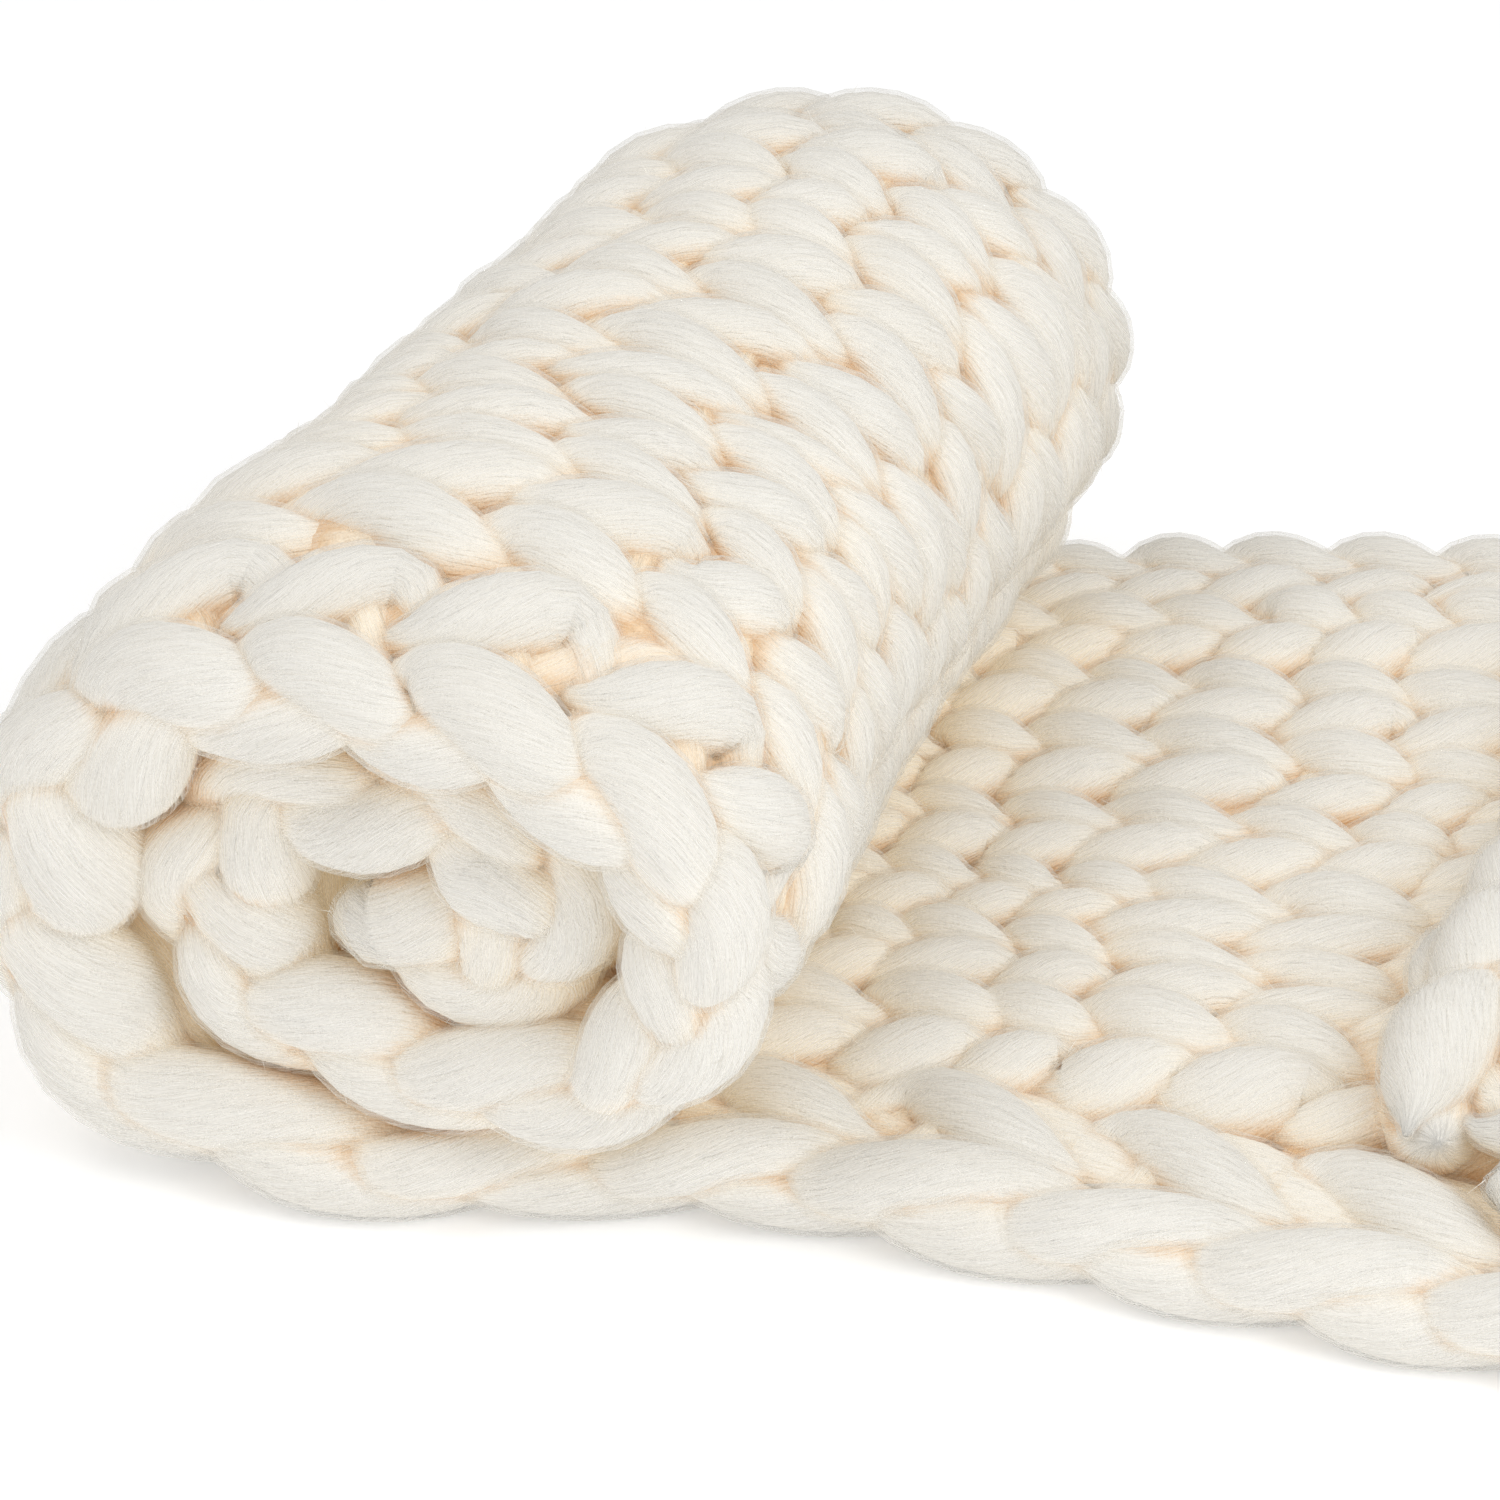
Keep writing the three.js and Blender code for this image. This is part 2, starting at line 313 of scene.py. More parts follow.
def mesh_of_strands(name, paths, normals, radii, tone, ring=12):
    """One object for many strands. Each strand is a closed tube with a point at each end, which
    lies past the path's end by a part of the radius. The tube's UV is the length along the yarn
    in metres, and the place round it from 0 to 1."""
    laid_strands[name] = (paths, normals, radii, tone, ring)
    strands, steps = paths.shape[:2]
    points, along = tubes(paths, normals, radii, ring)
    points[..., 2] = np.maximum(points[..., 2], FLOOR_GAP)
    past_the_end = np.array([-TIP_LENGTH, TIP_LENGTH])[None, :, None]
    tips = paths[:, [0, -1]] + along[:, [0, -1]] * radii[:, [0, -1], None] * past_the_end
    tips[..., 2] = np.maximum(tips[..., 2], FLOOR_GAP)
    block = steps * ring
    vertices = np.concatenate([points.reshape(strands, block, 3), tips], 1).reshape(-1, 3)

    step, k = np.meshgrid(np.arange(steps - 1), np.arange(ring), indexing="ij")
    after = (k + 1) % ring
    quads = np.stack([step * ring + k, step * ring + after, (step + 1) * ring + after,
                      (step + 1) * ring + k], -1).reshape(-1, 4)
    k = np.arange(ring)
    after = (k + 1) % ring
    last = (steps - 1) * ring
    caps = np.concatenate([
        np.stack([np.full(ring, block), after, k], -1),
        np.stack([np.full(ring, block + 1), last + k, last + after], -1),
    ])
    first = (np.arange(strands) * (block + 2))[:, None, None]
    quads = (quads[None] + first).reshape(-1, 4)
    caps = (caps[None] + first).reshape(-1, 3)

    length = np.concatenate([np.zeros((strands, 1)),
                             np.cumsum(np.linalg.norm(np.diff(paths, axis=1), axis=-1), 1)], 1) / 1000
    u = np.repeat(length[:, :, None], ring, 2).reshape(strands, block)
    v = np.tile(np.arange(ring) / ring, (strands, steps, 1)).reshape(strands, block)
    u = np.concatenate([u, length[:, [0, -1]]], 1).ravel()
    v = np.concatenate([v, np.full((strands, 2), 0.5)], 1).ravel()
    corners = np.concatenate([quads.ravel(), caps.ravel()])
    uv = np.stack([u[corners], v[corners]], -1)
    wrap = np.concatenate([np.tile([False, True, True, False], len(quads)),
                           np.zeros(caps.size, bool)])
    uv[:, 1] = np.where(wrap & (uv[:, 1] < 1e-6), 1.0, uv[:, 1])

    sizes = np.concatenate([np.full(len(quads), 4), np.full(len(caps), 3)])
    piece = new_piece(name, vertices, corners, sizes)
    piece.data.polygons.foreach_set("use_smooth", np.ones(len(sizes), bool))
    piece.data.uv_layers.new(name="yarn")
    piece.data.uv_layers["yarn"].uv.foreach_set("vector", uv.ravel())
    tones = np.repeat(tone[:, :, None], ring, 2).reshape(strands, block)
    add_values(piece, "tone", np.concatenate([tones, tone[:, [0, -1]]], 1))
    print(name, strands, "strands,", 2 * len(quads) + len(caps), "triangles")
    return piece, points


# %% [markdown]
# ## Rows of stitches
#
# A row of plain knitting is one strand. In each column it comes up from behind between two
# columns, runs forward as the first leg of the stitch, turns over behind the next row as the
# stitch's head, and comes back as the second leg. With t counted in columns, the place across
# is t + a sin(4 pi t), the place along is -h cos(2 pi t), and the height is -n cos(4 pi t): the
# legs are at the front, and the turns are at the back. A little of cos(2 pi t) is added to the
# height, so each leg's foot stands proud of the tip of the leg below, the way real stitches
# overlap like leaves.
#
# This throw shows the knit side on both its faces, so each face has its own rows, back to back.
# No two stitches are pulled alike, so each leg has its own small shift and its own fullness.
# One stitch could be modelled and repeated over the sheet, but then each would need joins to its
# neighbours, and all would be alike. A whole row as one strand has no joins.

# %% The path of a row
LEAN = 0.225    # a: how far the legs lean, in columns
REACH = 0.72    # h: half the length of a stitch, in rows
RISE = 5.8      # n: front to back of the path, mm
MIDDLE = 3.0    # height of the path's middle over the middle of the cloth, mm
PROUD = 2.6     # how much prouder a leg's foot is than its tip, mm
FAT = 0.292     # radius of the yarn where it is free, in columns
NIPPED = 0.46   # its radius where another strand nips it, in free radii
PRESSED = 0.90  # thickness of the cloth where turns press on each other
FREED = 0.10    # what it gains where they don't
PAST = 0.12     # how far a row goes on past its columns, in columns
TUCK = 7.0      # how deep it is tucked in there, mm
STEPS = 24      # steps along a column

# How far legs differ, as standard deviations.
UNEVEN = {"column": 0.034, "row": 0.09, "height": 1.2, "radius": 0.09, "tone": 0.16}


def slack(row, column):
    """Slow waves over the cloth that shift rows and columns a little, in rows and columns."""
    along = 0.20 * np.sin(0.62 * row + 1.7 * column + 1.0) + 0.15 * np.sin(1.31 * row - 0.9 * column)
    beside = 0.07 * np.sin(0.47 * row + 0.8 * column + 2.0) + 0.05 * np.sin(0.93 * row - 1.9 * column)
    return along, beside


def fullness(run, face):
    """How full the cloth is: squeezed where turns press on each other."""
    if face > 0:
        open_part = ease(FOLD_AT + 150, FOLD_AT + 290, run)
        return PRESSED + FREED * open_part * (1 - ease(ROLL_AT - 110, ROLL_AT - 40, run))
    open_roll = ease(ROLL_AT + 20, ROLL_AT + 120, run) * (1 - ease(run_at(0.78), run_at(0.92), run))
    return PRESSED + FREED * (open_roll + (1 - ease(FOLD_AT, LAID_AT, run)))


def stitched(row, column, height, face):
    """Points on the cloth for a row number, a column number and a height over the cloth's
    middle, on its upper face (+1) or its other face (-1)."""
    along, beside = slack(row, column)
    edge = np.clip(np.minimum(column, COLUMNS - column), 0, 1)
    run = run_of_row(row + along * 0.8)
    across = across_of_column(column + beside * edge)
    across_in = np.clip(across, 0, 1)
    points = on_cloth(run, across, face * height * fullness(run, face) * bulk(run, across_in, face)**1.3)
    normals = face * square_to(run, across_in)
    return points, normals, run, across_in


def column_width(run, column):
    """Width of a column of stitches there, in mm."""
    width = through(SELVAGES, 2, run) - through(SELVAGES, 1, run)
    index = np.clip(np.floor(column).astype(int), 0, COLUMNS - 1)
    return width * COLUMN_WIDTHS[index] / COLUMN_WIDTHS.sum()


def each_leg(t, spread, strands):
    """A random amount for each leg of each strand, blended from one leg to the next."""
    start = math.floor(t[0])
    legs = int(math.ceil((t[-1] - start) * 2)) + 2
    amounts = rng.normal(0, spread, (strands, legs))
    place = (t - start) * 2
    i = np.clip(np.floor(place).astype(int), 0, legs - 2)
    blend = 0.5 - 0.5 * np.cos(math.pi * (place - i))
    return amounts[:, i] * (1 - blend) + amounts[:, i + 1] * blend


def knit_rows(name, face, first, last, half_row=0.0):
    """The rows of one face, from column `first` to column `last`. The yarn's radius is its free
    radius times NIPPED + (1 - NIPPED) (1 - cos(4 pi t)) / 2, so it is fattest in mid leg. It
    follows the cloth's fullness in part, and the square root of its bulk."""
    rows = np.arange(1, ROW_COUNT)[:, None] + half_row
    strands = len(rows)
    t = np.linspace(first - PAST, last + PAST, (last - first) * STEPS + 7)
    wave1, wave2 = TAU * t[None], 2 * TAU * t[None]
    column = t[None] + LEAN * np.sin(wave2) + each_leg(t, UNEVEN["column"], strands)
    row = rows - REACH * np.cos(wave1) + each_leg(t, UNEVEN["row"], strands)
    height = MIDDLE - RISE * np.cos(wave2) + PROUD * np.cos(wave1)
    height = height + each_leg(t, UNEVEN["height"], strands)
    tucked = (1 - ease(first - PAST, first + 0.02, t) + ease(last - 0.02, last + PAST, t))[None]
    height = height - TUCK * tucked
    points, normals, run, across = stitched(row, column, height, face)
    width = column_width(run, t[None] + 0 * column)
    free = 0.5 - 0.5 * np.cos(wave2)
    fat = FAT * width * (1 + each_leg(t, UNEVEN["radius"], strands))
    radii = fat * (NIPPED + (1 - NIPPED) * free) * (0.35 + 0.65 * fullness(run, face))
    radii = radii * bulk(run, across, face)**0.5 * (1 - 0.4 * tucked)
    tone = 0.5 + each_leg(t, UNEVEN["tone"], strands)
    return mesh_of_strands(name, points, normals, radii, tone)


upper_rows, upper_points = knit_rows("upper_face_rows", 1, 1, COLUMNS - 1)
under_rows, under_points = knit_rows("outer_face_rows", -1, 1, COLUMNS - 1, half_row=0.5)

# %% [markdown]
# ## The selvages
#
# At each selvage the yarn goes round the edge, from a stitch on one face to a stitch on the
# other, so the edge is a plait of two chains. On the near edge the maker slipped every other
# stitch, as knitters do for a neat edge, so its chain has stitches about twice as long and
# fatter than the rest. The rows' own strands could be carried on round the edge, but the near
# chain has fewer stitches than there are rows. So each of its stitches is a strand of its own,
# whose ends are hidden between the rows.

# %% Chains along the selvages
# run, length of a chain stitch there
NEAR_CHAIN = np.array([
    [-BEYOND, 92], [ROLL_AT - 200, 96], [ROLL_AT - 60, 92], [ROLL_AT + 60, 88], [run_at(0.15), 98],
    [run_at(0.28), 90], [run_at(0.42), 64], [run_at(0.6), 62], [run_at(0.85), 68], [run_at(1.2), 76],
    [RUN + BEYOND, 70],
])
LONG_STITCH = 92.0     # length of a fully slipped stitch, mm
EDGE_LEAN = 0.215      # the path of a chain stitch, in the same terms as that of a row
EDGE_RISE, EDGE_MIDDLE, EDGE_PROUD = 5.6, 2.2, 1.8
EDGE_FAT = 0.215       # radius of its yarn, in columns
OUTWARDS = 0.02        # how far the chain is moved out, in columns
FIRST_ON = 0.3         # how far on the first stitch is moved, in stitches
FIRST_RUN = 20.0       # where the end of the chain is drawn in to, mm
TURN_IN = 24.0         # length over which it is drawn in, mm
TURN, FIRST_TURN = 0.10, 0.25   # how much of a strand it takes to turn over the edge
ROUNDING = 0.004       # how round the path is at the edge
UNEVEN_EDGE = {"column": 0.02, "row": 0.05, "radius": 0.07}


def swell(run):
    """How much fuller the near selvage is on the roll, where nothing draws it tight."""
    inside = 0.35 * ease(run_at(0.8), run_at(1.0), run)
    return 1 + 0.26 * ease(ROLL_AT - 40, ROLL_AT + 110, run) * (1 - inside)


def selvage(name, side, lengths, steps, ring, slipped=0.0, extra=0):
    """One strand for each stitch of the chain: a stitch on the upper face, round the edge, and a
    stitch on the other face. s goes from -1 to 1, and is 0 at the edge. t is its distance from
    the edge, sqrt(s^2 + rounding), so that it turns smoothly there. In a slipped stitch
    the outer leg lies long and flat along the edge, and the inner leg comes down to it steeply.
    At the end of the throw the run r is kept above the first run r0, as
    r0 + (r - r0 + sqrt((r - r0)^2 + d^2)) / 2, with d the length of the turn in."""
    passed = counted(lengths)
    stitches = np.arange(0, int(np.interp(RUN, RUN_STEPS, passed)) + extra)[:, None] + 1.0
    stitches[0] += FIRST_ON
    strands = len(stitches)
    s = np.linspace(-1, 1, 2 * steps + 1)
    legs = np.linspace(0, 2, len(s))
    t = np.sqrt(s**2 + ROUNDING)[None]
    t = t / t.max()
    turn = np.full((strands, 1), TURN)
    turn[0] = FIRST_TURN
    face = np.tanh(s[None] / turn)
    wave1, wave2 = TAU * t, 2 * TAU * t

    inner = slipped * ease(0.42, 0.58, t)
    column = t + (EDGE_LEAN + 0.08 * inner) * np.sin(wave2) - OUTWARDS
    column = column + each_leg(legs, UNEVEN_EDGE["column"], strands)
    column = column - 0.13 * slipped * np.sin(math.pi * np.clip(column, 0, 1))
    place = stitches - REACH * (1.0 - 0.06 * inner) * np.cos(wave1) - 0.20 * inner
    place = place + each_leg(legs, UNEVEN_EDGE["row"], strands)
    half_a_stitch_on = 0.25 * (face + 1)
    run = np.interp(place + half_a_stitch_on, passed, RUN_STEPS)
    run = FIRST_RUN + 0.5 * (run - FIRST_RUN + np.sqrt((run - FIRST_RUN)**2 + TURN_IN**2))

    fuller, outward = 1.0, 1.0
    if side == "near":
        fuller = 1 + (swell(run) - 1) * (1 - 0.75 * ease(0.6, 0.95, t))
        outward = -1.0
    column = column if side == "near" else COLUMNS - column
    across = across_of_column(column)
    across_in = np.clip(across, 0, 1)
    thick = bulk(run, across_in, face)
    height = EDGE_MIDDLE - EDGE_RISE * np.cos(wave2) + EDGE_PROUD * np.cos(wave1)
    tucked = 4 * ease(0.80, 1.0, t)
    height = (np.maximum(height, 0) * fuller**1.6 * thick**1.3 - tucked) * face
    freed = 0.08 * ease(FOLD_AT + 150, FOLD_AT + 290, run) * (1 - ease(ROLL_AT - 60, ROLL_AT, run))
    points = on_cloth(run, across, height * (0.92 + freed))
    normals = face[..., None] * square_to(run, across_in)
    normals = normals + (1 - np.abs(face))[..., None] * np.array([0.0, outward, 0.0])

    width = column_width(run, np.clip(column, 0.01, COLUMNS - 0.01) + 0 * run)
    fat = EDGE_FAT * width * fuller * (1 + each_leg(legs, UNEVEN_EDGE["radius"], strands))
    short = np.clip(1 - through(lengths, 1, run) / LONG_STITCH, 0, 1)
    fat = fat * (1 + inner * (0.18 - 0.6 * short)) * (1 - 0.58 * ease(0.76, 0.96, t))
    free = 0.5 - 0.5 * np.cos(wave2)
    radii = fat * thick**0.3 * (0.55 + 0.45 * free)
    radii[0] = radii[0] * (1 - 0.6 * ease(0.7, 0.95, t[0]))
    tone = 0.5 + each_leg(legs, UNEVEN["tone"], strands)
    return mesh_of_strands(name, points, normals, radii, tone, ring)


near_chain, near_points = selvage("near_selvage", "near", NEAR_CHAIN, 30, 14, slipped=0.9, extra=1)
far_chain, far_points = selvage("far_selvage", "far", ROWS, 26, 12)


# %% [markdown]
# ## The cast-off ends
#
# At both ends of the throw the last row of stitches is closed off by drawing each stitch over
# the next, which leaves a chain of loops lying across the end, one for each column. The whole
# chain could be one strand, but each loop's ends are hidden under the next, so each loop is one.

# %% Chains across the ends
LOOP_RADIUS = 25.0               # of the yarn in a loop, mm
LOOP_FROM, LOOP_TO = 0.30, 1.25  # how far a loop reaches back and on, in columns
OTHER_FACE = 0.45                # how far on the other face's loops are, in columns
FAR_INSET = 0.04                 # how far the chain stops inside the far selvage, in columns
LOOP_STEPS = 26
UNEVEN_LOOP = {"column": 0.04, "radius": 0.06}


def cast_off(name, run_at_end, outward, near_inset):
    """Two leaning loops for each column, one on each face. With s from 0 to 1 along a loop, it
    goes a little over one column across, and swings out past the end of the throw and back as
    sin(pi s). The first loop's tip at the near selvage is thin, and sunk between the rows."""
    s = np.linspace(0, 1, LOOP_STEPS)[None]
    columns = np.tile(np.arange(COLUMNS), 2)[:, None]
    columns = columns + np.repeat([0.0, OTHER_FACE], COLUMNS)[:, None]
    face = np.repeat([1.0, -1.0], COLUMNS)[:, None] + 0 * s
    strands = len(columns)
    swing = np.sin(math.pi * s)
    wobble = each_leg(s[0], UNEVEN_LOOP["column"], strands) * swing
    first = np.maximum(columns - LOOP_FROM, near_inset)
    last = np.minimum(columns + LOOP_TO, COLUMNS - FAR_INSET)
    across = across_of_column(first + (last - first) * s + wobble)
    run = run_at_end - outward * (16.0 - 7.0 * swing - 15.0 * (s - 0.5) * face)
    tip = (columns < 0.5) * (1 - ease(0.0, 0.25, s))
    points = on_cloth(run, across, face * (1.0 + 9.5 * swing) - 8.0 * tip)
    normals = face[..., None] * square_to(run, np.clip(across, 0, 1))
    radii = LOOP_RADIUS * (0.42 + 0.58 * swing - 0.34 * tip)
    radii = radii * (1 + each_leg(s[0], UNEVEN_LOOP["radius"], strands))
    tone = 0.5 + each_leg(s[0], UNEVEN["tone"], strands)
    return mesh_of_strands(name, points, normals, radii, tone)


flap_end, flap_points = cast_off("flap_end_chain", 22, -1, 0.24)
loose_end, loose_points = cast_off("loose_end_chain", RUN, 1, 0.04)

# %% [markdown]
# ## Loose fibre
#
# Roving sheds and tangles, so every free surface carries a short halo of single fibres. About
# half of them lie close along the yarn, and the rest stray outwards and aside. A hair system
# would draw curved ones, but each of those takes many faces. A fibre this short looks straight,
# so each is one narrow, pointed face, rooted on a strand.

# %% Fibres
LONGEST = 12.0         # mm
FIBRE_FLOOR_GAP = 0.2  # mm
ROOT_DEPTH = 0.9       # how deep a fibre is rooted, mm


def fibres(name, strands_of_points, keep, count):
    """Spikes rooted at random on the kept sides of strands. A fibre leaves along the yarn,
    outwards, and a little to one side. With u at random from 0 to 1, its length is the longest
    times 0.35 + 0.65 u^3, so few come near the longest."""
    roots, along, outward = [], [], []
    for points, kept in zip(strands_of_points, keep):
        middle = points.mean(2, keepdims=True)
        direction = unit(np.gradient(points, axis=1))
        out = unit(points - middle)
        chosen = kept(middle[:, :, 0], out)
        roots.append(points[chosen])
        along.append(direction[chosen])
        outward.append(out[chosen])
    roots, along, outward = (np.concatenate(part) for part in (roots, along, outward))
    pick = rng.integers(0, len(roots), count)
    root, along, outward = roots[pick], along[pick], outward[pick]
    across = np.cross(along, outward)
    stray = rng.random((count, 1)) < 0.5
    upright, lying = rng.uniform(0.3, 1.5, (count, 1)), rng.uniform(0.05, 0.30, (count, 1))
    stand = np.where(stray, upright, lying)
    aside = rng.normal(0, 1, (count, 1)) * np.where(stray, 0.9, 0.4)
    way = unit(along * rng.choice([-1, 1], (count, 1)) + outward * stand + across * aside)
    length = LONGEST * (0.35 + 0.65 * rng.random((count, 1))**3)
    wide = unit(np.cross(way, outward + rng.normal(0, 0.5, (count, 3))))
    wide = wide * rng.uniform(0.15, 0.32, (count, 1)) * np.where(stray, 0.8, 1.0)
    root = root + along * rng.uniform(-5, 5, (count, 1)) + across * rng.uniform(-4, 4, (count, 1))
    root = root - outward * ROOT_DEPTH
    spikes = np.stack([root - wide, root + wide, root + way * length], 1)
    spikes[..., 2] = np.maximum(spikes[..., 2], FIBRE_FLOOR_GAP)
    print(name, count, "fibres")
    return new_piece(name, spikes.reshape(-1, 3), np.arange(3 * count), np.full(count, 3))


ROLL_MIDDLE = np.array([-6.0, 0, 172.0])   # mm


def on_top(middle, out):
    """The sides of the laid part's strands that face up or towards its edges."""
    return (out[..., 2] > -0.1) & (middle[..., 0] > 40)[..., None]


def on_outside(middle, out):
    """The sides of the roll's strands that face away from its middle, and the upper sides of the
    flap's."""
    away = middle - ROLL_MIDDLE
    away[..., 1] = 0
    rolled = (middle[..., 0] < 200) & (middle[..., 2] > 50)
    lifted = (middle[..., 0] > 330) & (middle[..., 2] > 60)
    faces_away = np.sum(out * unit(away)[:, :, None], -1) > 0.0
    shown = np.where(rolled[..., None], faces_away, out[..., 2] > 0)
    return shown & (rolled | lifted)[..., None]


def anywhere(middle, out):
    """All sides but the lowest."""
    return out[..., 2] > -0.8


top_fuzz = fibres("loose_fibre_on_the_laid_part", [upper_points, flap_points],
                  [on_top, anywhere], 20000)
roll_fuzz = fibres("loose_fibre_on_the_roll", [under_points], [on_outside], 20000)
edge_fuzz = fibres("loose_fibre_on_the_selvages", [near_points, far_points, loose_points],
                   [anywhere, anywhere, anywhere], 32000)

pieces = [upper_rows, under_rows, near_chain, far_chain, flap_end, loose_end]
fuzz = [top_fuzz, roll_fuzz, edge_fuzz]

# %% [markdown]
# ## How sheltered each place is
#
# The nooks between strands get painted shade, a warmer and darker colour, and a weak painted glow,
# where little light falls. The shader's own ambient occlusion could find the nooks, but it isn't
# part of a plain surface. So each point of the yarn is given a number for how closely it is shut
# in: feelers go out from it in five directions, and it counts how soon they touch a strand.

# %% Feelers
SHORT_FEELER, LONG_FEELER = 0.026, 0.15   # m
FEELER_START = 0.0006                     # how far off the yarn a feeler starts, m
FEELERS, FEELER_LEAN = 5, 0.95            # one straight out, and the others leaning round it


def shelter(pieces):
    """Adds two values, 0 in the open and up to 1 where every feeler touches at once: `shelter`
    for short feelers, and `nook` for long ones. Each is the mean of 1 - touched / length, and is
    then evened out: a point keeps 0.45 of its own and takes 0.55 of its neighbours' mean."""
    corners, faces, ranges = [], [], []
    base = 0
    for piece in pieces:
        mesh = piece.data
        places = np.empty(len(mesh.vertices) * 3, np.float32)
        mesh.vertices.foreach_get("co", places)
        corners.append(places.reshape(-1, 3))
        faces += [[base + v for v in face.vertices] for face in mesh.polygons]
        ranges.append((piece, base, base + len(mesh.vertices)))
        base += len(mesh.vertices)
    everything = np.concatenate(corners)
    surface = BVHTree.FromPolygons(everything.tolist(), faces)
    for piece, first, last in ranges:
        mesh = piece.data
        normal = np.empty((last - first) * 3, np.float32)
        mesh.vertices.foreach_get("normal", normal)
        normal = normal.reshape(-1, 3)
        side = unit(np.cross(normal, [0.31, 0.53, 0.79]))
        other = np.cross(normal, side)
        closed, shaded = np.zeros(last - first), np.zeros(last - first)
        for turn in range(FEELERS):
            lean = FEELER_LEAN if turn else 0.0
            angle = TAU * turn / (FEELERS - 1)
            way = unit(normal + lean * (math.cos(angle) * side + math.sin(angle) * other))
            at = everything[first:last] + normal * FEELER_START
            touched = np.array([surface.ray_cast(start, towards, LONG_FEELER)[3] or LONG_FEELER
                                for start, towards in zip(at.tolist(), way.tolist())])
            closed += np.maximum(1 - touched / SHORT_FEELER, 0) / FEELERS
            shaded += (1 - touched / LONG_FEELER) / FEELERS
        edges = np.empty(len(mesh.edges) * 2, np.int32)
        mesh.edges.foreach_get("vertices", edges)
        a, b = edges.reshape(-1, 2).T
        size = len(closed)
        neighbours = np.bincount(a, minlength=size) + np.bincount(b, minlength=size)
        # shelter and nook are the masks of the yarn's painted shade and painted glow.
        for label, values, times in (("shelter", closed, 2), ("nook", shaded, 8)):
            for _ in range(times):
                around = np.bincount(a, values[b], size) + np.bincount(b, values[a], size)
                values = 0.45 * values + 0.55 * around / neighbours
            add_values(piece, label, values)
        print(piece.name, "is sheltered", round(float(closed.mean()), 3), "on the whole")


shelter(pieces)

# %% [markdown]
# ## The halo
#
# Under the long fibres is a mist of short ones, far too many to draw one by one. It is one thin
# skin over the yarn that shows: full of fibre in the open, worn thin down in the nooks, and clear
# between its fibres. Several skins would make a deeper mist, but each makes every ray slower.

# %% A skin of short fibre
LIFT = 2.5   # how far the skin lies off the yarn, mm


def skin(source, first, last):
    """A tube a little wider than each strand of a piece, from its first to its last row. It has
    the piece's own steps, and takes their shelter from them."""
    paths, normals, radii, tone, ring = laid_strands[source]
    rows, (strands, steps) = slice(first, last), radii.shape
    part, _ = mesh_of_strands(f"short_fibre_{source}_{first}", paths[rows], normals[rows],
                              radii[rows] + LIFT, tone[rows], ring)
    for label in ("shelter", "nook"):
        values = np.empty(strands * (steps * ring + 2))
        bpy.data.objects[source].data.attributes[label].data.foreach_get("value", values)
        add_values(part, label, values.reshape(strands, -1)[rows])
    return part


fold_row, roll_row, turn_row = (int(np.interp(run, RUN_STEPS, ROWS_PASSED))
                                for run in (FOLD_AT, ROLL_AT, run_at(0.95)))
mist = [
    skin("upper_face_rows", 0, roll_row + 1),
    skin("outer_face_rows", 0, fold_row + 2),
    skin("outer_face_rows", roll_row - 1, turn_row + 1),
    skin("near_selvage", 0, None),
    skin("far_selvage", 0, None),
    skin("flap_end_chain", 0, None),
]

# %% [markdown]
# ## What the yarn looks like
#
# Roving is undyed cream wool. Its fibres lie nearly along the yarn with a slow twist, so fine
# streaks run along each leg, and follow the yarn's own length and angle. The surface has the soft
# sheen of loose fibre. Light goes some way into wool and comes out warmer in its nooks, where
# little other light falls. Scattering under the surface would show that, but slowly and without
# the measured shelter. So the nooks get painted shade, a warmer and darker colour, and a weak
# painted glow in its place.


# %% Shader sums
class Wire:
    """A shader socket that can be used in sums. Each sum adds a Math node."""

    def __init__(self, tree, socket):
        self.tree = tree
        self.socket = socket

    def output(self, name):
        """Another output of the same node."""
        return Wire(self.tree, self.socket.node.outputs[name])

    def math(self, operation, *others):
        node = self.tree.nodes.new("ShaderNodeMath")
        node.operation = operation
        for slot, value in zip(node.inputs, others):
            join(self.tree, slot, value)
        return Wire(self.tree, node.outputs[0])

    def __add__(self, other):
        return self.math("ADD", self, other)

    def __sub__(self, other):
        return self.math("SUBTRACT", self, other)

    def __rsub__(self, other):
        return self.math("SUBTRACT", other, self)

    def __mul__(self, other):
        return self.math("MULTIPLY", self, other)

    __radd__ = __add__
    __rmul__ = __mul__

    def sine(self):
        return self.math("SINE", self)

    def cosine(self):
        return self.math("COSINE", self)


def join(tree, slot, value):
    """Puts a number or colour on a socket, or links a wire to it."""
    if isinstance(value, Wire):
        tree.links.new(value.socket, slot)
    else:
        slot.default_value = value


